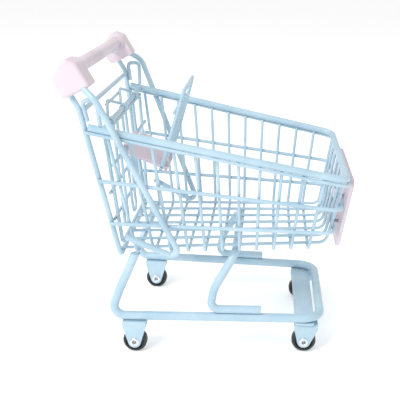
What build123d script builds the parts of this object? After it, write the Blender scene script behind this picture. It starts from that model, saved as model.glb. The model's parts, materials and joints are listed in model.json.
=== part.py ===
from build123d import *
import os
from math import atan2, cos, degrees, radians, sin, sqrt, tan

# Miniature wire shopping cart, in millimetres.
# +X points to the nose, +Y to the cart's left, +Z up; the origin is on the ground under the middle.

# ---- driving dimensions: rods, wires and joints between them ----
chassis_rod_d = 4.2
brace_rod_d = 3.8
handle_rod_d = 2.7
rim_rod_d = 3.2
post_rod_d = 2.4
side_loop_d = 1.8
crossbar_d = 2.1
gate_hinge_d = 2.0
gate_frame_d = 1.7
ring_wire_d = 1.7
rim_wire_d = 1.4
basket_wire_d = 1.4
gate_wire_d = 1.4
arch_wire_d = 1.3
backrest_frame_d = 1.7
backrest_wire_d = 1.2
weld_gap = 0.03
running_gap = 0.06

# ---- driving dimensions: basket (wire centre lines) ----
floor_rear_x = -45.5
floor_rear_z = 50.0
floor_rear_half_width = 36.7
floor_nose_x = 47.6
floor_nose_z = 53.9
floor_nose_half_width = 31.5
rim_rear_x = -56.3
rim_rear_z = 112.4
rim_rear_half_width = 50.0
rim_nose_x = 54.2
rim_nose_z = 89.7
rim_nose_half_width = 43.4
lower_ring_level = 0.27
mid_ring_level = 0.61
side_wire_count = 11
floor_wire_count = 7
floor_bend_radius = 3.0
nose_bend_radius = 4.0
ring_corner_radius = 5.5
edge_wire_inset = 4.2
edge_wire_rim_inset = 6.5

# ---- driving dimensions: handle ----
grip_x = -60.6
grip_z = 135.4
grip_d = 6.2
grip_core_d = 2.4
cap_inner_y = 43.0
cap_outer_y = 54.2
cap_corner_radius = 2.6
cap_front_corner_radius = 0.9
cap_edge_radius = 1.4
collar_length = 2.8
collar_wall = 0.5
collar_flare = 1.3
core_depth_in_cap = 5.0
post_bend_z = 119.8
post_bend_radius = 6.0
hoop_foot_radius = 3.4
rear_rod_exit_x = -61.2
rear_rod_exit_z = 126.0
handle_kink_x = -49.4
handle_kink_z = 125.0
handle_foot_x = -16.4
handle_foot_z = 48.8
handle_foot_radius = 2.6
handle_tail_x = -41.4
handle_tail_z = 60.9
rods_in_cap_y = 50.4
handle_foot_clearance = 0.75
handle_rim_clearance = 0.5
side_loop_foot_x = -49.4
upper_crossbar_x = -57.0
upper_crossbar_z = 118.6

# ---- driving dimensions: chassis ----
rail_z = 18.2
rail_rear_x = -51.6
rail_rear_half_width = 36.2
rail_nose_x = 47.4
rail_nose_half_width = 31.2
rail_corner_radius = 9.0
upright_knee_x = -46.8
upright_knee_z = 31.5
upright_top_x = -37.6
upright_top_half_width = 33.6
brace_foot_front_x = 19.3
brace_foot_rear_x = -4.6
brace_knee_x = -2.6
brace_knee_z = 33.0
brace_top_x = 7.0
brace_top_half_width = 30.0
strip_length_x = 9.2
strip_thickness = 1.2

# ---- driving dimensions: casters ----
wheel_r = 5.7
wheel_width = 4.4
wheel_side_gap = 0.35
fork_sheet = 0.8
fork_top_length = 11.2
fork_toe_r = 3.0
axle_rivet_d = 3.0
axle_rivet_bore_d = 1.8
axle_head_d = 4.4
axle_head_thickness = 0.55
swivel_rivet_d = 1.9
swivel_head_d = 2.9
swivel_head_thickness = 0.35
swivel_gap = 0.12
rear_wheel_x = -40.0
front_wheel_x = 40.0
front_wheel_half_track = 28.6
caster_trail = 0.8

# ---- driving dimensions: rear gate ----
gate_hinge_x = -49.1
gate_hinge_z = 110.6
gate_foot_x = -44.5
gate_length = 56.0
gate_top_side_gap = 3.0
gate_foot_side_gap = 0.9
gate_corner_radius = 4.0
gate_eye_wall = 0.65
gate_eye_length = 4.0
gate_foot_pitch = 30.0
arch_height = 7.6
arch_bend_radius = 3.6
arch_tilt = 36.0
hairpin_pitch = 21.0
hairpin_half_width = 4.2
hairpin_foot_gap = 2.2
gate_upper_bar = 30.0
gate_lower_bar = 43.0

# ---- driving dimensions: child seat ----
seat_bar_d = 1.6
seat_hinge_drop = 16.8
seat_depth = 22.0
seat_half_width = 18.6
seat_slope = 22.5
seat_thickness = 1.5
seat_lip = 1.9
seat_lip_thickness = 1.4
seat_knuckle_wall = 0.75
seat_knuckle_length = 6.0
seat_knuckle_y = 10.6
backrest_hinge_back = 2.6
backrest_lug_y = 14.3
backrest_lug_length = 3.0
backrest_lug_wall = 0.7
backrest_height = 35.4
backrest_lean = 16.0
backrest_foot_half_width = 28.6
backrest_top_half_width = 20.4
backrest_corner_radius = 3.5
backrest_bar_height = 25.0
backrest_wire_count = 5

# ---- driving dimensions: nose bumper ----
bumper_thickness = 1.8
bumper_top_reach = 3.1
bumper_top_x = rim_nose_x + bumper_top_reach
bumper_top_z = 85.6
bumper_top_half_width = 30.0
bumper_foot_reach = 5.1
bumper_foot_x = floor_nose_x + bumper_foot_reach
bumper_foot_z = 52.0
bumper_foot_half_width = 24.5
bumper_corner_radius = 3.0
clip_y = 15.5
clip_width = 4.0
clip_wall = 0.9

# ---- radii and offsets that follow from the driving dimensions ----
wire_r = basket_wire_d / 2
ring_r = ring_wire_d / 2
rim_r = rim_rod_d / 2
post_r = post_rod_d / 2
handle_r = handle_rod_d / 2
chassis_r = chassis_rod_d / 2
brace_r = brace_rod_d / 2
ring_offset = wire_r + ring_r + weld_gap
handle_offset = wire_r + ring_wire_d + handle_r + handle_foot_clearance
handle_rim_offset = wire_r + ring_wire_d + handle_r + handle_rim_clearance
post_inset = post_r - wire_r
long_wire_rise = basket_wire_d + weld_gap


def lerp(start, end, share):
    return start + (end - start) * share


def rod(points, diameter, bend_radius=0.0):
    """A round bar along straight runs joined by tangent arcs."""
    if len(points) == 2:
        path = Line(*points)
    else:
        path = FilletPolyline(*points, radius=bend_radius)
    return sweep(Plane(path @ 0, z_dir=path % 0) * Circle(diameter / 2), path=path)


def straight_wire(start, end, diameter):
    span = Vector(*end) - Vector(*start)
    return Solid.make_cylinder(diameter / 2, span.length, Plane(Vector(*start), z_dir=span))


def cylinder_y(radius, y_start, y_end, x, z):
    """A bar or pin that lies along Y."""
    return Solid.make_cylinder(radius, y_end - y_start, Plane((x, y_start, z), z_dir=(0, 1, 0)))


def other_side(points):
    """The same points on the right side, in reverse order."""
    return [(x, -y, z) for x, y, z in reversed(points)]


def mirrored(shape):
    return mirror(shape, about=Plane.XZ)


# ---- basket surface ----
def floor_height(x):
    return lerp(floor_rear_z, floor_nose_z, (x - floor_rear_x) / (floor_nose_x - floor_rear_x))


def wall_point(along, up, outward=0.0):
    """A point of the left wall: along runs from post to nose, up from floor to rim."""
    floor_y = lerp(floor_rear_half_width, floor_nose_half_width, along)
    floor_z = lerp(floor_rear_z, floor_nose_z, along)
    rim_y = lerp(rim_rear_half_width, rim_nose_half_width, along)
    rim_z = lerp(rim_rear_z, rim_nose_z, along)
    x = lerp(lerp(floor_rear_x, floor_nose_x, along), lerp(rim_rear_x, rim_nose_x, along), up)
    slant = sqrt((rim_y - floor_y) ** 2 + (rim_z - floor_z) ** 2)
    y = lerp(floor_y, rim_y, up) + outward * (rim_z - floor_z) / slant
    z = lerp(floor_z, rim_z, up) - outward * (rim_y - floor_y) / slant
    return (x, y, z)


def wall_half_width(x, z):
    """Half-width between the side wires' centre lines at one place and height."""
    share = (x - floor_rear_x) / (floor_nose_x - floor_rear_x)
    floor_y = lerp(floor_rear_half_width, floor_nose_half_width, share)
    floor_z = floor_height(x)
    share = (x - rim_rear_x) / (rim_nose_x - rim_rear_x)
    rim_y = lerp(rim_rear_half_width, rim_nose_half_width, share)
    rim_z = lerp(rim_rear_z, rim_nose_z, share)
    return lerp(floor_y, rim_y, (z - floor_z) / (rim_z - floor_z))


nose_lean = atan2(rim_nose_x - floor_nose_x, rim_nose_z - floor_nose_z)


def ring_points(rear_up, nose_up, outward, start):
    """Left rear end and left nose corner of a wire that runs round the basket."""
    rear = Vector(*wall_point(0, rear_up, outward))
    nose = Vector(*wall_point(1, nose_up, outward))
    normal = Vector(cos(nose_lean), 0, -sin(nose_lean))
    foot = Vector(floor_nose_x, 0, floor_nose_z)
    reach = (outward - (rear - foot).dot(normal)) / (nose - rear).dot(normal)
    corner = rear + (nose - rear) * reach
    rear = rear + (nose - rear).normalized() * start
    return [tuple(rear), tuple(corner)]


def ring(rear_up, nose_up, outward, diameter, start):
    left = ring_points(rear_up, nose_up, outward, start)
    return rod(left + other_side(left), diameter, ring_corner_radius)


def clear_of_bar(wire_run, bar_run, bar_radius, wire_radius):
    """How far from a bar's centre line a wire's flat end stops so that it just clears the bar."""
    cosine = abs(wire_run.normalized().dot(bar_run.normalized()))
    sine = sqrt(1 - cosine ** 2)
    return (bar_radius + weld_gap) / sine + wire_radius * cosine / sine


def side_wire_stations():
    return [(index + 1) / (side_wire_count + 1) for index in range(side_wire_count)]


def split_height(along):
    """Where a side wire meets its floor wire, just above the bend, as a share of the wall."""
    foot = Vector(*wall_point(along, 0))
    top = Vector(*wall_point(along, 1))
    run = top - foot
    turn = degrees(atan2(sqrt(run.X ** 2 + run.Z ** 2), run.Y))
    tangent = floor_bend_radius * tan(radians(turn / 2))
    return (tangent + wire_r) / run.length


def side_wires():
    wires = []
    rim_run = Vector(*wall_point(1, 1)) - Vector(*wall_point(0, 1))
    for along in side_wire_stations():
        wire_run = Vector(*wall_point(along, 1)) - Vector(*wall_point(along, 0))
        top = 1 - clear_of_bar(wire_run, rim_run, rim_r, wire_r) / wire_run.length
        wires.append(straight_wire(wall_point(along, split_height(along)), wall_point(along, top), basket_wire_d))
    return wires


def floor_cross_wires():
    wires = []
    for along in side_wire_stations():
        left = [wall_point(along, split_height(along)), wall_point(along, 0)]
        wires.append(rod(left + other_side(left), basket_wire_d, floor_bend_radius))
    return wires


def long_wire_points(share):
    """Rear end, nose corner and rim end of one lengthwise wire, which lies on the cross wires."""
    rear_y = share * (floor_rear_half_width - edge_wire_inset)
    floor_y = share * (floor_nose_half_width - edge_wire_inset)
    rim_y = share * (rim_nose_half_width - edge_wire_rim_inset)
    rise = long_wire_rise
    corner_x = floor_nose_x + rise * tan(nose_lean)
    rear = Vector(floor_rear_x - post_r / 2, rear_y, floor_height(floor_rear_x - post_r / 2) + rise)
    corner = Vector(corner_x, floor_y, floor_height(corner_x) + rise)
    rim = Vector(rim_nose_x, rim_y, rim_nose_z)
    return rear, corner, rim


def long_wire_shares():
    half = (floor_wire_count - 1) / 2
    return [(index - half) / half for index in range(floor_wire_count)]


def floor_long_wires():
    wires = []
    for share in long_wire_shares():
        rear, corner, rim = long_wire_points(share)
        end = corner + (rear - corner).normalized() * (nose_bend_radius + wire_r)
        wires.append(straight_wire(tuple(rear), tuple(end), basket_wire_d))
    return wires


def front_wires():
    wires = []
    for share in long_wire_shares():
        rear, corner, rim = long_wire_points(share)
        start = corner + (rear - corner).normalized() * (nose_bend_radius + wire_r)
        top = rim + (corner - rim).normalized() * clear_of_bar(rim - corner, Vector(0, 1, 0), rim_r, wire_r)
        wires.append(rod([tuple(start), tuple(corner), tuple(top)], basket_wire_d, nose_bend_radius))
    return wires


def rim_rod():
    return ring(1, 1, 0, rim_rod_d, post_r + rim_r * 0.4)


def rim_lower_wire():
    lower_r = rim_wire_d / 2
    outward = wire_r + lower_r + weld_gap
    drop = sqrt((rim_r + lower_r + 2 * weld_gap) ** 2 - outward ** 2)
    rear_up = 1 - drop / (rim_rear_z - floor_rear_z)
    nose_up = 1 - drop / (rim_nose_z - floor_nose_z)
    return ring(rear_up, nose_up, outward, rim_wire_d, 0)


# ---- rear hoop, handle rods, loops and crossbars ----
def post_point(up):
    return wall_point(0, up, -post_inset)


def post_level(z):
    return (z - floor_rear_z) / (rim_rear_z - floor_rear_z)


def rear_hoop():
    """Both posts and the bar under the floor's rear edge: one bent rod that ends in the handle caps."""
    bend = post_point(post_level(post_bend_z))
    foot = (floor_rear_x, post_point(0)[1], floor_rear_z + long_wire_rise - wire_r - post_r - weld_gap)
    exit_point = (rear_rod_exit_x, rods_in_cap_y, rear_rod_exit_z)
    slope = (Vector(*exit_point) - Vector(*bend)).normalized()
    end = Vector(*exit_point) + slope * rod_depth_in_cap
    left = [tuple(end), bend, foot]
    radii = [post_bend_radius, hoop_foot_radius, hoop_foot_radius, post_bend_radius]
    path = FilletPolyline(*left, *other_side(left), radius=radii)
    return sweep(Plane(path @ 0, z_dir=path % 0) * Circle(post_r), path=path)


rod_depth_in_cap = 4.5
handle_end_x = -58.4
handle_end_z = 131.4


def handle_rod():
    """Left handle rod: up from its foot beside the basket, over the rim and into the cap."""
    foot = (handle_foot_x, wall_half_width(handle_foot_x, handle_foot_z) + handle_offset, handle_foot_z)
    tail_y = wall_half_width(handle_tail_x, handle_tail_z) + handle_offset
    kink_y = wall_half_width(handle_kink_x, handle_kink_z) + handle_rim_offset
    points = [
        (handle_tail_x, tail_y, handle_tail_z),
        foot,
        (handle_kink_x, kink_y, handle_kink_z),
        (handle_end_x, rods_in_cap_y, handle_end_z),
    ]
    path = FilletPolyline(*points, radius=[handle_foot_radius, post_bend_radius])
    return sweep(Plane(path @ 0, z_dir=path % 0) * Circle(handle_r), path=path)


def rim_point(x):
    """A point of the left rim rod's centre line."""
    share = (x - rim_rear_x) / (rim_nose_x - rim_rear_x)
    return wall_point(share, 1)


wall_tilt = atan2(rim_rear_half_width - floor_rear_half_width, rim_rear_z - floor_rear_z)
rim_toe_in = atan2(rim_rear_half_width - rim_nose_half_width, rim_nose_x - rim_rear_x)


def side_loop():
    """Left wire loop that stands beside the post and comes down on the rim rod."""
    side_step = post_r + side_loop_d / 2 + 2 * weld_gap
    foot = post_point(post_level(post_bend_z - 5))
    top = post_point(post_level(post_bend_z + 4))
    _, rim_y, rim_z = rim_point(side_loop_foot_x)
    end_z = rim_z + (rim_r + weld_gap) + side_loop_d / 2 * tan(radians(14))
    points = [
        (foot[0] + side_step, foot[1], foot[2]),
        (top[0] + side_step, top[1], top[2]),
        (side_loop_foot_x - 0.6, top[1], top[2]),
        (side_loop_foot_x, rim_y, end_z),
    ]
    path = FilletPolyline(*points, radius=[1.9, 1.9])
    return sweep(Plane(path @ 0, z_dir=path % 0) * Circle(side_loop_d / 2), path=path)


def upper_crossbar():
    post_y = post_point(post_level(upper_crossbar_z))[1]
    bar_r = crossbar_d / 2
    end_y = post_y - (post_r + weld_gap) / cos(wall_tilt) - bar_r * tan(wall_tilt)
    return cylinder_y(bar_r, -end_y, end_y, upper_crossbar_x, upper_crossbar_z)


def gate_hinge_bar():
    """The bar that the gate hangs on, from rim rod to rim rod."""
    bar_r = gate_hinge_d / 2
    end_y = rim_point(gate_hinge_x)[1] - (rim_r + weld_gap) / cos(rim_toe_in) - bar_r * tan(rim_toe_in)
    return cylinder_y(bar_r, -end_y, end_y, gate_hinge_x, gate_hinge_z)


# ---- handle grip and caps ----
def end_cap():
    """Left handle cap, a rounded block with blind sockets for both rods and the grip's core."""
    outline = Polyline(
        (grip_x - 7.6, grip_z - 3.0),
        (grip_x - 2.0, grip_z + 5.5),
        (grip_x + 3.2, grip_z + 3.8),
        (grip_x + 8.7, grip_z - 5.6),
        (grip_x - 3.0, grip_z - 11.4),
        close=True,
    )
    face = Plane((0, cap_inner_y, 0), x_dir=(1, 0, 0), z_dir=(0, -1, 0)) * make_face(outline)
    corners = face.vertices().sort_by(Axis.X)
    face = fillet(corners[:-1], cap_corner_radius)
    face = fillet(face.vertices().sort_by(Axis.X)[-1:], cap_front_corner_radius)
    block = extrude(face, cap_outer_y - cap_inner_y, dir=(0, 1, 0))
    block = fillet(block.faces().sort_by(Axis.Y)[-1].edges(), cap_edge_radius)
    socket_gap = 0.03
    collar_r = grip_d / 2 + collar_wall
    collar = Solid.make_cone(collar_r + collar_flare, collar_r, collar_length,
                             Plane((grip_x, cap_inner_y, grip_z), z_dir=(0, -1, 0)))
    bore_r = grip_d / 2 + socket_gap
    block = block + collar
    block = block - cylinder_y(bore_r, cap_inner_y - 2 * collar_length, cap_inner_y, grip_x, grip_z)
    tools = [rear_hoop_tool(socket_gap), handle_rod_tool(socket_gap)]
    core_end = cap_inner_y + core_depth_in_cap + socket_gap
    tools.append(cylinder_y(grip_core_d / 2 + socket_gap, 0, core_end, grip_x, grip_z))
    for tool in tools:
        block = block - tool
    return block.solids().sort_by(SortBy.VOLUME)[-1]


def rear_hoop_tool(gap):
    bend = Vector(*post_point(post_level(post_bend_z)))
    exit_point = Vector(rear_rod_exit_x, rods_in_cap_y, rear_rod_exit_z)
    slope = (exit_point - bend).normalized()
    end = exit_point + slope * (rod_depth_in_cap + gap)
    return straight_wire(tuple(bend + slope), tuple(end), post_rod_d + 2 * gap)


def handle_rod_tool(gap):
    kink_y = wall_half_width(handle_kink_x, handle_kink_z) + handle_rim_offset
    kink = Vector(handle_kink_x, kink_y, handle_kink_z)
    end = Vector(handle_end_x, rods_in_cap_y, handle_end_z)
    slope = (end - kink).normalized()
    return straight_wire(tuple(kink + slope), tuple(end + slope * gap), handle_rod_d + 2 * gap)


def grip_tube():
    tube = cylinder_y(grip_d / 2, -cap_inner_y, cap_inner_y, grip_x, grip_z)
    return tube - cylinder_y(grip_core_d / 2 + running_gap, -cap_inner_y, cap_inner_y, grip_x, grip_z)


def grip_core_rod():
    end_y = cap_inner_y + core_depth_in_cap
    return cylinder_y(grip_core_d / 2, -end_y, end_y, grip_x, grip_z)


# ---- chassis ----
def rail_half_width(x):
    share = (x - rail_rear_x) / (rail_nose_x - rail_rear_x)
    return lerp(rail_rear_half_width, rail_nose_half_width, share)


def chassis_rod():
    """One bent rod: upright, rail, nose bar, rail, upright."""
    top_z = floor_height(upright_top_x) + chassis_rod_d * 0.6
    left = [
        (upright_top_x, upright_top_half_width, top_z),
        (upright_knee_x, rail_rear_half_width, upright_knee_z),
        (rail_rear_x, rail_rear_half_width, rail_z),
        (rail_nose_x, rail_nose_half_width, rail_z),
    ]
    points = left + other_side(left)
    radii = [14.0, 5.0, rail_corner_radius, rail_corner_radius, 5.0, 14.0]
    path = FilletPolyline(*points, radius=radii)
    bar = sweep(Plane(path @ 0, z_dir=path % 0) * Circle(chassis_r), path=path)
    seat_z = floor_height(upright_top_x - chassis_rod_d) - wire_r - weld_gap
    above = Pos(upright_top_x, 0, seat_z + chassis_rod_d) * Box(
        6 * chassis_rod_d, 3 * floor_rear_half_width, 2 * chassis_rod_d
    )
    return (bar - above).solids()[0]


def brace_rod():
    """One bent rod: a foot on each rail, and a bar across under the basket floor."""
    foot_z = rail_z + chassis_r + brace_r + weld_gap
    top_z = floor_height(brace_top_x) - wire_r - brace_r - weld_gap
    left = [
        (brace_foot_front_x, rail_half_width(brace_foot_front_x), foot_z),
        (brace_foot_rear_x, rail_half_width(brace_foot_rear_x), foot_z),
        (brace_knee_x, rail_half_width(brace_knee_x), brace_knee_z),
        (brace_top_x, brace_top_half_width, top_z),
    ]
    points = left + other_side(left)
    radii = [3.6, 14.0, 6.0, 6.0, 14.0, 3.6]
    path = FilletPolyline(*points, radius=radii)
    return sweep(Plane(path @ 0, z_dir=path % 0) * Circle(brace_r), path=path)


strip_top_z = rail_z - chassis_r - weld_gap


def front_cross_strip():
    """Flat strip under both rails, with a hole for each swivel rivet."""
    half_width = rail_half_width(front_wheel_x) + chassis_r * 0.6
    strip = Pos(front_wheel_x, 0, strip_top_z - strip_thickness / 2) * Box(
        strip_length_x, 2 * half_width, strip_thickness
    )
    strip = fillet(strip.edges().filter_by(Axis.Z), 1.2)
    for side in (1, -1):
        hole = Pos(swivel_x, side * front_wheel_half_track, strip_top_z) * Cylinder(
            swivel_rivet_d / 2 + running_gap, 3 * strip_thickness
        )
        strip = strip - hole
    return strip


# ---- casters ----
swivel_x = front_wheel_x + caster_trail
fork_inner_half = wheel_width / 2 + wheel_side_gap
fork_outer_half = fork_inner_half + fork_sheet


def fork(x, y, top_z, top_x, swivel_hole):
    """A folded sheet fork: a bridge on top and two tapered cheeks with a round toe."""
    half_top = fork_top_length / 2
    outline = make_hull(
        [
            *Polyline((top_x - half_top, top_z), (top_x + half_top, top_z)).edges(),
            *Polyline((top_x - half_top, top_z - 2.2), (top_x + half_top, top_z - 2.2)).edges(),
            *(Pos(x, wheel_r) * Circle(fork_toe_r)).edges(),
        ]
    )
    face = Plane((0, y - fork_outer_half, 0), x_dir=(1, 0, 0), z_dir=(0, -1, 0)) * outline
    block = extrude(face, 2 * fork_outer_half, dir=(0, 1, 0))
    top_edges = block.faces().sort_by(Axis.Z)[-1].edges().filter_by(Axis.X)
    block = fillet(top_edges, fork_sheet)
    inner_height = top_z - fork_sheet + wheel_r
    inner = Pos(x, y, top_z - fork_sheet - inner_height / 2) * Box(
        3 * fork_top_length, 2 * fork_inner_half, inner_height
    )
    block = block - inner
    block = block - cylinder_y(axle_rivet_d / 2 + 0.02, y - 9, y + 9, x, wheel_r)
    if swivel_hole:
        block = block - Pos(top_x, y, top_z) * Cylinder(swivel_rivet_d / 2 + running_gap, 4 * fork_sheet)
    return block.solids()[0]


def axle_rivet(x, y):
    """A hollow rivet with a rolled head outside each cheek."""
    shank_half = fork_outer_half + 0.02
    body = cylinder_y(axle_rivet_d / 2, y - shank_half, y + shank_half, x, wheel_r)
    rivet = Part() + body
    for side in (1, -1):
        start = y + side * shank_half
        end = start + side * axle_head_thickness
        head = cylinder_y(axle_head_d / 2, min(start, end), max(start, end), x, wheel_r)
        rivet = rivet + head
    rims = [edge for edge in rivet.edges().filter_by(GeomType.CIRCLE) if abs(edge.radius - axle_head_d / 2) < 0.01]
    outer = [edge for edge in rims if abs(abs(edge.center().Y - y) - shank_half - axle_head_thickness) < 0.01]
    rivet = fillet(outer, axle_head_thickness * 0.7)
    rivet = rivet - cylinder_y(axle_rivet_bore_d / 2, y - 9, y + 9, x, wheel_r)
    mouths = [edge for edge in rivet.edges().filter_by(GeomType.CIRCLE)
              if abs(edge.radius - axle_rivet_bore_d / 2) < 0.01]
    return fillet(mouths, axle_head_thickness * 0.6).solids()[0]


def wheel(x, y):
    """A turned wheel with a rounded tread, a dished side and a hub that rides on the rivet."""
    half = wheel_width / 2
    bore_r = axle_rivet_d / 2 + running_gap + 0.02
    hub_r = bore_r + 0.9
    web_r = wheel_r - 1.5
    dish = 0.8
    profile = Polyline(
        (bore_r, -half), (hub_r, -half), (hub_r + dish * 0.5, -half + dish), (web_r - 0.3, -half + dish),
        (web_r, -half), (wheel_r - 0.7, -half), (wheel_r, -half + 0.9),
        (wheel_r, half - 0.9), (wheel_r - 0.7, half), (web_r, half),
        (web_r - 0.3, half - dish), (hub_r + dish * 0.5, half - dish), (hub_r, half), (bore_r, half),
        close=True,
    )
    face = make_face(profile)
    body = revolve(face, Axis.Y)
    body = Pos(x, y, wheel_r) * body
    return body.solids()[0]


def swivel_rivet(y):
    """Vertical rivet that holds a front fork under the cross strip; the fork turns on its shank."""
    fork_top = strip_top_z - strip_thickness - swivel_gap
    head_base = fork_top - fork_sheet - swivel_gap
    shank_top = strip_top_z + 0.02
    shank = Solid.make_cylinder(swivel_rivet_d / 2, shank_top - head_base, Plane((swivel_x, y, head_base)))
    upper = Solid.make_cylinder(swivel_head_d / 2, swivel_head_thickness, Plane((swivel_x, y, shank_top)))
    lower = Solid.make_cylinder(
        swivel_head_d / 2, swivel_head_thickness, Plane((swivel_x, y, head_base - swivel_head_thickness))
    )
    return (Part() + shank + upper + lower).solids()[0]


# ---- rear gate ----
gate_down = Vector(gate_foot_x - gate_hinge_x, 0, -gate_length).normalized()
gate_front = Vector(-gate_down.Z, 0, gate_down.X)
gate_eye_bore_r = gate_hinge_d / 2 + running_gap
gate_eye_r = gate_eye_bore_r + gate_eye_wall
gate_top_bar_s = gate_eye_r + gate_frame_d / 2 + weld_gap


def inside_walls(down, side_gap):
    """Half-width of the gate's outer wire, this far below the hinge, inside the side wires."""
    point = Vector(gate_hinge_x, 0, gate_hinge_z) + gate_down * down
    return wall_half_width(point.X, point.Z) - wire_r - gate_frame_d / 2 - side_gap


gate_top_half_width = inside_walls(gate_top_bar_s, gate_top_side_gap)
gate_foot_half_width = inside_walls(gate_length, gate_foot_side_gap)


def gate_point(down, y, front=0.0):
    """A point of the gate: distance below the hinge, sideways, and forward of the gate's plane."""
    point = Vector(gate_hinge_x, 0, gate_hinge_z) + gate_down * down + gate_front * front
    return (point.X, y, point.Z)


def gate_bar(down, half_width, diameter, front=0.0):
    x, _, z = gate_point(down, 0, front)
    return cylinder_y(diameter / 2, -half_width, half_width, x, z)


def gate_side(down):
    share = (down - gate_top_bar_s) / (gate_length - gate_top_bar_s)
    return lerp(gate_top_half_width, gate_foot_half_width, share)


def gate_frame():
    """The outer wire of the gate, a U that hangs from the ends of the top bar."""
    side_run = Vector(*gate_point(gate_length, gate_foot_half_width)) - Vector(
        *gate_point(gate_top_bar_s, gate_top_half_width)
    )
    start = gate_top_bar_s + clear_of_bar(side_run, Vector(0, 1, 0), gate_frame_d / 2, gate_frame_d / 2)
    left = [gate_point(start, gate_side(start)), gate_point(gate_length, gate_foot_half_width)]
    return rod(left + other_side(left), gate_frame_d, gate_corner_radius)


def gate_top_bar():
    return gate_bar(gate_top_bar_s, gate_top_half_width + gate_frame_d / 2, gate_frame_d)


def gate_hairpins():
    """Three narrow U wires that hang from the top bar."""
    start = gate_top_bar_s + gate_frame_d / 2 + weld_gap
    foot = gate_length - gate_frame_d / 2 - gate_wire_d / 2 - hairpin_foot_gap
    front = (gate_wire_d - gate_frame_d) / 2
    wires = []
    for step in (-1, 0, 1):
        middle = step * hairpin_pitch
        points = [
            gate_point(start, middle - hairpin_half_width, front),
            gate_point(foot, middle - hairpin_half_width, front),
            gate_point(foot, middle + hairpin_half_width, front),
            gate_point(start, middle + hairpin_half_width, front),
        ]
        wires.append(rod(points, gate_wire_d, hairpin_half_width * 0.85))
    return wires


def gate_crossbars():
    """Two bars behind the hairpins, from leg to leg."""
    back = -(gate_frame_d + gate_wire_d) / 2 - weld_gap
    return [gate_bar(down, gate_side(down) + gate_wire_d, gate_wire_d, back) for down in (gate_upper_bar, gate_lower_bar)]


def gate_eyes():
    """Short sleeves under the arches' feet, which turn on the hinge bar."""
    eyes = []
    for step in (-1, 0, 1):
        middle = step * gate_foot_pitch
        sleeve = cylinder_y(gate_eye_r, middle - gate_eye_length / 2, middle + gate_eye_length / 2,
                            gate_hinge_x, gate_hinge_z)
        bore = cylinder_y(gate_eye_bore_r, middle - gate_eye_length, middle + gate_eye_length,
                          gate_hinge_x, gate_hinge_z)
        eyes.append(sleeve - bore)
    return eyes


def arch_point(rise, y):
    tilt = radians(arch_tilt)
    return (gate_hinge_x - rise * sin(tilt), y, gate_hinge_z + rise * cos(tilt))


def gate_arches():
    """Two pointed arches above the hinge bar, each standing on two eyes."""
    base = gate_eye_r + weld_gap + arch_wire_d / 2
    inset = arch_wire_d / 2 + 0.3
    arches = []
    for side in (-1, 1):
        inner = side * inset
        outer = side * (gate_foot_pitch - inset)
        middle = side * gate_foot_pitch / 2
        points = [
            arch_point(base, inner),
            arch_point(arch_height, middle),
            arch_point(base, outer),
        ]
        arches.append(rod(points, arch_wire_d, arch_bend_radius))
    return arches


def gate_tie_wire():
    """A short wire behind the arches' tops that ties them together."""
    reach = gate_foot_pitch / 2 + 1.0
    level = arch_height - arch_wire_d
    start = arch_point(level, -reach)
    end = arch_point(level, reach)
    step = (arch_wire_d + weld_gap)
    tilt = radians(arch_tilt)
    shift = (-step * cos(tilt), 0, -step * sin(tilt))
    start = tuple(a + b for a, b in zip(start, shift))
    end = tuple(a + b for a, b in zip(end, shift))
    return straight_wire(start, end, arch_wire_d)


# ---- child seat ----
seat_bar_front = gate_frame_d / 2 + seat_bar_d / 2 + weld_gap
seat_bar_x, _, seat_bar_z = gate_point(seat_hinge_drop, 0, seat_bar_front)
seat_bore_r = seat_bar_d / 2 + running_gap
seat_knuckle_r = seat_bore_r + seat_knuckle_wall
lug_bore_r = backrest_frame_d / 2 + running_gap
lug_r = lug_bore_r + backrest_lug_wall
lug_rise = seat_thickness / 2 + lug_r - 0.3
backrest_hinge_along = seat_depth - backrest_hinge_back


def seat_point(along, rise):
    """A point of the seat in side view: distance from its hinge, and height above its middle plane."""
    slope = radians(seat_slope)
    x = seat_bar_x + along * cos(slope) + rise * sin(slope)
    z = seat_bar_z - along * sin(slope) + rise * cos(slope)
    return x, z


backrest_hinge_x, backrest_hinge_z = seat_point(backrest_hinge_along, lug_rise)


def seat_hinge_bar():
    return gate_bar(seat_hinge_drop, gate_side(seat_hinge_drop) + gate_frame_d / 2, seat_bar_d, seat_bar_front)


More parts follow.
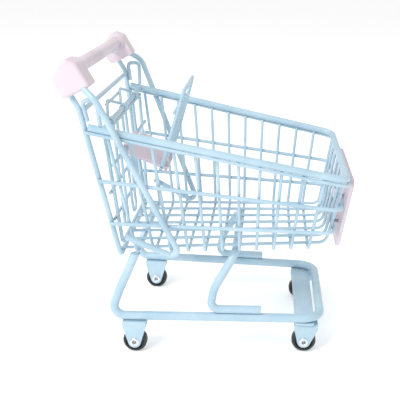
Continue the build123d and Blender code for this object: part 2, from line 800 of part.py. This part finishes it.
def seat_plate():
    """A plate with knuckles on the seat bar, a turned-down front lip and lugs for the backrest."""
    frame = Plane((seat_bar_x, 0, seat_bar_z), x_dir=(cos(radians(seat_slope)), 0, -sin(radians(seat_slope))),
                  z_dir=(sin(radians(seat_slope)), 0, cos(radians(seat_slope))))
    start = seat_knuckle_r + 0.25
    plate = Pos((start + seat_depth) / 2, 0, 0) * Box(seat_depth - start, 2 * seat_half_width, seat_thickness)
    corners = plate.edges().filter_by(Axis.Z)
    plate = fillet(corners, 2.0)
    lip_height = seat_lip + seat_thickness / 2
    lip = Pos(seat_depth - seat_lip_thickness / 2, 0, -lip_height / 2) * Box(
        seat_lip_thickness, 2 * (seat_half_width - 2.0), lip_height
    )
    plate = plate + lip
    for side in (-1, 1):
        knuckle = Plane((0, side * seat_knuckle_y, 0), x_dir=(1, 0, 0), z_dir=(0, 1, 0)) * Cylinder(
            seat_knuckle_r, seat_knuckle_length
        )
        web = Pos((start + 1.0) / 2 + 0.3, side * seat_knuckle_y, 0) * Box(
            start + 1.0, seat_knuckle_length, seat_thickness
        )
        lug = Plane((backrest_hinge_along, side * backrest_lug_y, lug_rise), x_dir=(1, 0, 0),
                    z_dir=(0, 1, 0)) * Cylinder(lug_r, backrest_lug_length)
        post = Pos(backrest_hinge_along, side * backrest_lug_y, lug_rise / 2) * Box(
            2 * lug_r * 0.8, backrest_lug_length, lug_rise
        )
        plate = plate + knuckle + web + lug + post
    plate = frame * plate
    plate = plate - cylinder_y(seat_bore_r, -seat_half_width, seat_half_width, seat_bar_x, seat_bar_z)
    plate = plate - cylinder_y(lug_bore_r, -seat_half_width, seat_half_width, backrest_hinge_x, backrest_hinge_z)
    return plate.solids().sort_by(SortBy.VOLUME)[-1]


def backrest_point(height, y, back=0.0):
    lean = radians(backrest_lean)
    x = backrest_hinge_x + height * sin(lean) - back * cos(lean)
    z = backrest_hinge_z + height * cos(lean) + back * sin(lean)
    return (x, y, z)


def backrest_side(height):
    return lerp(backrest_foot_half_width, backrest_top_half_width, height / backrest_height)


def backrest_frame():
    """Inverted U of wire that stands on the ends of the backrest's hinge wire."""
    side_run = Vector(backrest_top_half_width - backrest_foot_half_width, backrest_height)
    start = clear_of_bar(side_run, Vector(1, 0), backrest_frame_d / 2, backrest_frame_d / 2)
    left = [
        backrest_point(start, backrest_side(start)),
        backrest_point(backrest_height, backrest_top_half_width),
    ]
    return rod(left + other_side(left), backrest_frame_d, backrest_corner_radius)


def backrest_hinge_wire():
    half = backrest_foot_half_width + backrest_frame_d / 2
    return cylinder_y(backrest_frame_d / 2, -half, half, backrest_hinge_x, backrest_hinge_z)


def backrest_crossbar():
    back = (backrest_frame_d + backrest_wire_d) / 2 + weld_gap
    half = backrest_side(backrest_bar_height) + backrest_wire_d / 2
    start = backrest_point(backrest_bar_height, -half, back)
    end = backrest_point(backrest_bar_height, half, back)
    return straight_wire(start, end, backrest_wire_d)


def backrest_wires():
    """Upright wires from the hinge wire to the crossbar, which they end in front of."""
    edge_run = Vector(backrest_top_half_width - backrest_foot_half_width, backrest_height)
    start = clear_of_bar(edge_run, Vector(1, 0), backrest_frame_d / 2, backrest_wire_d / 2)
    end = backrest_bar_height + backrest_wire_d / 2
    front = (backrest_frame_d - backrest_wire_d) / 2
    wires = []
    for index in range(backrest_wire_count):
        share = 2 * (index + 1) / (backrest_wire_count + 1) - 1
        low = backrest_point(start, share * backrest_side(start), front)
        high = backrest_point(end, share * backrest_side(end), front)
        wires.append(straight_wire(low, high, backrest_wire_d))
    return wires


# ---- nose bumper ----
bumper_length = sqrt((bumper_top_x - bumper_foot_x) ** 2 + (bumper_top_z - bumper_foot_z) ** 2)
bumper_up = Vector(bumper_top_x - bumper_foot_x, 0, bumper_top_z - bumper_foot_z).normalized()
bumper_frame = Plane((bumper_foot_x, 0, bumper_foot_z), x_dir=tuple(bumper_up),
                     z_dir=(bumper_up.Z, 0, -bumper_up.X))


def bumper_plate():
    outline = Polyline(
        (0, -bumper_foot_half_width),
        (bumper_length, -bumper_top_half_width),
        (bumper_length, bumper_top_half_width),
        (0, bumper_foot_half_width),
        close=True,
    )
    face = fillet(make_face(outline).vertices(), bumper_corner_radius)
    plate = bumper_frame * extrude(face, bumper_thickness)
    outer = plate.faces().filter_by(GeomType.PLANE).sort_by(Axis.X)[-1]
    return fillet(outer.edges(), 0.4).solids()[0]


def bumper_clips():
    """Four U-shaped clips that reach back from the bumper and hook the two ring wires."""
    clips = []
    slot_half = ring_r + running_gap
    for level in (lower_ring_level, mid_ring_level):
        _, corner = ring_points(level, level, ring_offset, 0)
        wire = bumper_frame.to_local_coords(Vector(corner[0], 0, corner[2]))
        depth = slot_half + clip_wall - wire.Z - weld_gap
        for side in (1, -1):
            place = bumper_frame * Pos(wire.X, side * clip_y, -weld_gap)
            block = place * Pos(0, 0, -depth / 2) * Box(2 * (slot_half + clip_wall), clip_width, depth)
            slot_depth = -wire.Z
            slot = place * Pos(0, 0, -slot_depth / 2 + weld_gap) * Box(2 * slot_half, 2 * clip_width, slot_depth)
            bed = cylinder_y(slot_half, -side * clip_y - clip_width, -side * clip_y + clip_width,
                             corner[0], corner[2])
            clips.append((block - slot - bed).solids()[0])
    return clips


nodes = {}


def keep(name, *solids):
    """Keep one node; a node may hold several separate solids."""
    nodes[name] = [piece for shape in solids for piece in shape.solids()]


def write_nodes():
    """Move everything so that the origin lies under the middle of the whole cart, and write the files."""
    boxes = [piece.bounding_box() for pieces in nodes.values() for piece in pieces]
    middle_x = (min(box.min.X for box in boxes) + max(box.max.X for box in boxes)) / 2
    for name, pieces in nodes.items():
        moved = [Pos(-middle_x, 0, 0) * piece for piece in pieces]
        export_step(moved[0] if len(moved) == 1 else Compound(moved), f"parts/{name}.step")


def main():
    os.makedirs("parts", exist_ok=True)
    keep("chassis_rod", chassis_rod())
    keep("brace_rod", brace_rod())
    keep("front_cross_strip", front_cross_strip())
    keep("rim_rod", rim_rod())
    keep("rim_lower_wire", rim_lower_wire())
    keep("mid_ring_wire", ring(mid_ring_level, mid_ring_level, ring_offset, ring_wire_d, 0))
    keep("lower_ring_wire", ring(lower_ring_level, lower_ring_level, ring_offset, ring_wire_d, 0))
    left_wires = side_wires()
    keep("side_wires_left", *left_wires)
    keep("side_wires_right", *[mirrored(wire) for wire in left_wires])
    keep("floor_cross_wires", *floor_cross_wires())
    keep("floor_long_wires", *floor_long_wires())
    keep("front_wires", *front_wires())
    keep("rear_hoop", rear_hoop())
    keep("handle_rod_left", handle_rod())
    keep("handle_rod_right", mirrored(handle_rod()))
    keep("side_loop_left", side_loop())
    keep("side_loop_right", mirrored(side_loop()))
    keep("upper_crossbar", upper_crossbar())
    keep("gate_hinge_bar", gate_hinge_bar())
    keep("end_cap_left", end_cap())
    keep("end_cap_right", mirrored(end_cap()))
    keep("grip_tube", grip_tube())
    keep("grip_core_rod", grip_core_rod())
    keep("gate_frame", gate_frame())
    keep("gate_top_bar", gate_top_bar())
    keep("gate_hairpins", *gate_hairpins())
    keep("gate_crossbars", *gate_crossbars())
    keep("gate_eyes", *gate_eyes())
    keep("gate_arches", *gate_arches())
    keep("gate_tie_wire", gate_tie_wire())
    keep("seat_hinge_bar", seat_hinge_bar())
    keep("seat_plate", seat_plate())
    keep("backrest_hinge_wire", backrest_hinge_wire())
    keep("backrest_frame", backrest_frame())
    keep("backrest_crossbar", backrest_crossbar())
    keep("backrest_wires", *backrest_wires())
    keep("bumper_plate", bumper_plate())
    keep("bumper_clips", *bumper_clips())
    rear_y = rail_half_width(rear_wheel_x)
    front_top = strip_top_z - strip_thickness - swivel_gap
    for side, name in ((1, "left"), (-1, "right")):
        keep(f"rear_fork_{name}", fork(rear_wheel_x, side * rear_y, rail_z - chassis_r - weld_gap,
                                       rear_wheel_x, False))
        keep(f"front_fork_{name}", fork(front_wheel_x, side * front_wheel_half_track, front_top, swivel_x, True))
        keep(f"swivel_rivet_{name}", swivel_rivet(side * front_wheel_half_track))
        for place, x, y in (("rear", rear_wheel_x, rear_y), ("front", front_wheel_x, front_wheel_half_track)):
            keep(f"wheel_{place}_{name}", wheel(x, side * y))
            keep(f"axle_rivet_{place}_{name}", axle_rivet(x, side * y))
    write_nodes()


main()
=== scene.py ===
import json
import math

import bpy
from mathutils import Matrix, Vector

# Desk-size wire shopping cart: looks, light and camera. Metres; +X nose, +Y left, +Z up.

CAMERA_PLACE = Vector((0.0232976, -0.34533, 0.18330))
CAMERA_YAW = -0.09
CAMERA_PITCH = 0.33
SENSOR_WIDTH = 36.0
CAMERA_LENS = 66.6
CAMERA_CLIP_START = 0.01
CAMERA_CLIP_END = 50.0

FLOOR_HALF = 12.0
WORLD_COLOUR = (1.0, 1.0, 1.0, 1.0)
WORLD_STRENGTH = 0.72
FLOOR_GLOW = 0.27
LIGHT_TARGET = (0.0, 0.0, 0.07)
# Each light: name, place, edge of the square in metres, power in watts.
LIGHTS = (
    ("key_softbox", (-0.45, -0.55, 0.75), 0.40, 6.0),
    ("fill_softbox", (0.75, -0.35, 0.45), 0.7, 0.5),
    ("back_softbox", (0.1, 0.8, 0.7), 0.7, 0.6),
)

NOISE_ROUGHNESS = 0.55
MIX_FIRST = 6
MIX_SECOND = 7
MIX_RESULT = 2

BLUE_LIGHT = (0.465, 0.62, 0.715, 1.0)
BLUE_DEEP = (0.37, 0.535, 0.64, 1.0)
PINK_LIGHT = (0.72, 0.645, 0.70, 1.0)
PINK_DEEP = (0.65, 0.555, 0.615, 1.0)
BLACK_LIGHT = (0.028, 0.028, 0.031, 1.0)
BLACK_DEEP = (0.010, 0.010, 0.012, 1.0)
RIVET_LIGHT = (0.86, 0.87, 0.89, 1.0)
RIVET_DEEP = (0.62, 0.64, 0.67, 1.0)
FLOOR_COLOUR = (0.93, 0.93, 0.93, 1.0)
FLOOR_PALE = (0.95, 0.95, 0.95, 1.0)
BLUE_SPECK = (0.66, 0.80, 0.87, 1.0)


def aim(obj, target):
    obj.rotation_mode = "QUATERNION"
    obj.rotation_quaternion = (target - obj.location).to_track_quat("-Z", "Y")


def make_camera():
    data = bpy.data.cameras.new("camera")
    data.sensor_width = SENSOR_WIDTH
    data.lens = CAMERA_LENS
    data.clip_start = CAMERA_CLIP_START
    data.clip_end = CAMERA_CLIP_END
    camera = bpy.data.objects.new("camera", data)
    bpy.context.scene.collection.objects.link(camera)
    camera.location = CAMERA_PLACE
    flat = math.cos(CAMERA_PITCH)
    forward = Vector((math.sin(CAMERA_YAW) * flat, math.cos(CAMERA_YAW) * flat, -math.sin(CAMERA_PITCH)))
    aim(camera, CAMERA_PLACE + forward)
    bpy.context.scene.camera = camera


def area_light(name, place, target, size, power):
    data = bpy.data.lights.new(name, "AREA")
    data.size = size
    data.energy = power
    lamp = bpy.data.objects.new(name, data)
    bpy.context.scene.collection.objects.link(lamp)
    lamp.location = Vector(place)
    aim(lamp, Vector(target))


def make_lights():
    for name, place, size, power in LIGHTS:
        area_light(name, place, LIGHT_TARGET, size, power)
    world = bpy.data.worlds.new("studio")
    world.use_nodes = True
    background = world.node_tree.nodes["Background"]
    background.inputs["Color"].default_value = WORLD_COLOUR
    background.inputs["Strength"].default_value = WORLD_STRENGTH
    bpy.context.scene.world = world
    bpy.context.scene.view_settings.view_transform = "Standard"


class Finish:
    """A procedural material in object space: two tones, roughness and relief."""

    def __init__(self, name):
        self.material = bpy.data.materials.new(name)
        self.material.use_nodes = True
        self.nodes = self.material.node_tree.nodes
        self.links = self.material.node_tree.links
        self.shader = self.nodes["Principled BSDF"]
        self.place = self.nodes.new("ShaderNodeTexCoord").outputs["Object"]
        self.relief = None

    def noise(self, scale, detail):
        node = self.nodes.new("ShaderNodeTexNoise")
        node.inputs["Scale"].default_value = scale
        node.inputs["Detail"].default_value = detail
        node.inputs["Roughness"].default_value = NOISE_ROUGHNESS
        self.links.new(self.place, node.inputs["Vector"])
        return node.outputs["Fac"]

    def span(self, value, low, high, start, end):
        node = self.nodes.new("ShaderNodeMapRange")
        node.inputs["From Min"].default_value = low
        node.inputs["From Max"].default_value = high
        node.inputs["To Min"].default_value = start
        node.inputs["To Max"].default_value = end
        self.links.new(value, node.inputs["Value"])
        return node.outputs["Result"]

    def mix(self, factor, first, second):
        node = self.nodes.new("ShaderNodeMix")
        node.data_type = "RGBA"
        self.links.new(factor, node.inputs["Factor"])
        for socket, colour in ((node.inputs[MIX_FIRST], first), (node.inputs[MIX_SECOND], second)):
            if isinstance(colour, tuple):
                socket.default_value = colour
            else:
                self.links.new(colour, socket)
        return node.outputs[MIX_RESULT]

    def bump(self, value, strength, distance):
        node = self.nodes.new("ShaderNodeBump")
        node.inputs["Strength"].default_value = strength
        node.inputs["Distance"].default_value = distance
        self.links.new(value, node.inputs["Height"])
        if self.relief:
            self.links.new(self.relief, node.inputs["Normal"])
        self.relief = node.outputs["Normal"]
        self.links.new(self.relief, self.shader.inputs["Normal"])

    def set(self, **values):
        for name, value in values.items():
            self.shader.inputs[name.replace("_", " ")].default_value = value

    def colour(self, socket):
        self.links.new(socket, self.shader.inputs["Base Color"])

    def roughness(self, socket):
        self.links.new(socket, self.shader.inputs["Roughness"])


def powder_coat():
    """Satin powder coat: orange peel, uneven film thickness, small pale chips and uneven gloss."""
    f = Finish("blue_powder_coat")
    film = f.span(f.noise(scale=55.0, detail=4.0), low=0.35, high=0.65, start=0.0, end=1.0)
    tone = f.mix(film, BLUE_LIGHT, BLUE_DEEP)
    speck = f.span(f.noise(scale=900.0, detail=2.0), low=0.70, high=0.76, start=0.0, end=0.35)
    f.colour(f.mix(speck, tone, BLUE_SPECK))
    f.roughness(f.span(f.noise(scale=160.0, detail=4.0), low=0.3, high=0.7, start=0.30, end=0.46))
    f.bump(f.noise(scale=1500.0, detail=2.0), strength=0.22, distance=0.00006)
    f.bump(f.noise(scale=330.0, detail=3.0), strength=0.25, distance=0.00012)
    f.set(Coat_Weight=0.35, Coat_Roughness=0.2)
    return f.material


def moulded_plastic():
    """Satin moulded plastic: faint flow marks, fine texture and uneven gloss."""
    f = Finish("pink_moulded_plastic")
    flow = f.span(f.noise(scale=38.0, detail=3.0), low=0.35, high=0.68, start=0.0, end=1.0)
    f.colour(f.mix(flow, PINK_LIGHT, PINK_DEEP))
    f.roughness(f.span(f.noise(scale=120.0, detail=5.0), low=0.3, high=0.7, start=0.36, end=0.54))
    f.bump(f.noise(scale=2600.0, detail=2.0), strength=0.18, distance=0.00004)
    f.bump(f.noise(scale=90.0, detail=2.0), strength=0.10, distance=0.0002)
    f.set(Subsurface_Weight=0.08, Subsurface_Scale=0.002)
    return f.material


def wheel_plastic():
    """Glossy black wheel with a pale bloom and uneven gloss."""
    f = Finish("black_wheel_plastic")
    grain = f.span(f.noise(scale=260.0, detail=5.0), low=0.4, high=0.75, start=0.0, end=1.0)
    f.colour(f.mix(grain, BLACK_DEEP, BLACK_LIGHT))
    f.roughness(f.span(f.noise(scale=500.0, detail=5.0), low=0.3, high=0.7, start=0.28, end=0.6))
    f.bump(f.noise(scale=1800.0, detail=3.0), strength=0.3, distance=0.00005)
    return f.material


def rivet_metal():
    """Bright tumbled aluminium with fine uneven relief."""
    f = Finish("bright_rivet_metal")
    grain = f.span(f.noise(scale=700.0, detail=5.0), low=0.35, high=0.7, start=0.0, end=1.0)
    f.colour(f.mix(grain, RIVET_LIGHT, RIVET_DEEP))
    f.roughness(f.span(f.noise(scale=1100.0, detail=4.0), low=0.3, high=0.7, start=0.18, end=0.42))
    f.bump(f.noise(scale=2400.0, detail=3.0), strength=0.3, distance=0.00003)
    f.set(Metallic=1.0)
    return f.material


def floor_finish():
    f = Finish("pale_floor")
    f.colour(f.mix(f.noise(scale=0.6, detail=2.0), FLOOR_COLOUR, FLOOR_PALE))
    f.set(Roughness=0.9, Emission_Color=WORLD_COLOUR, Emission_Strength=FLOOR_GLOW)
    return f.material


def make_floor():
    mesh = bpy.data.meshes.new("floor")
    corners = [(-FLOOR_HALF, -FLOOR_HALF, 0), (FLOOR_HALF, -FLOOR_HALF, 0), (FLOOR_HALF, FLOOR_HALF, 0),
               (-FLOOR_HALF, FLOOR_HALF, 0)]
    mesh.from_pydata(corners, [], [(0, 1, 2, 3)])
    floor = bpy.data.objects.new("floor", mesh)
    bpy.context.scene.collection.objects.link(floor)
    mesh.materials.append(floor_finish())


def dress(nodes, slots):
    finishes = {
        "blue_coat": powder_coat(),
        "pink_plastic": moulded_plastic(),
        "black_wheel": wheel_plastic(),
        "bright_rivet": rivet_metal(),
        "plain_steel": rivet_metal(),
    }
    for name, obj in nodes.items():
        for place in obj.material_slots:
            place.material = finishes[slots[name]]


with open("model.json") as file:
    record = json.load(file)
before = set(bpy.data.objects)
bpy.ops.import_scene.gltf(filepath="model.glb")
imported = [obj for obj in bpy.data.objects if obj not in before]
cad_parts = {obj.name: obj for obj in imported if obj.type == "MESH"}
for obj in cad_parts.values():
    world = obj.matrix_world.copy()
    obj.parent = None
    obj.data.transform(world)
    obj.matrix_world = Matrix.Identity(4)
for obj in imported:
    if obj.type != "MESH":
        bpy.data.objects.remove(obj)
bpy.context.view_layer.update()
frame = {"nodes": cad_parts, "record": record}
make_camera()
make_lights()
make_floor()
slots = {part["node"]: part["material_slot"] for part in frame["record"]["subparts"]}
dress(frame["nodes"], slots)
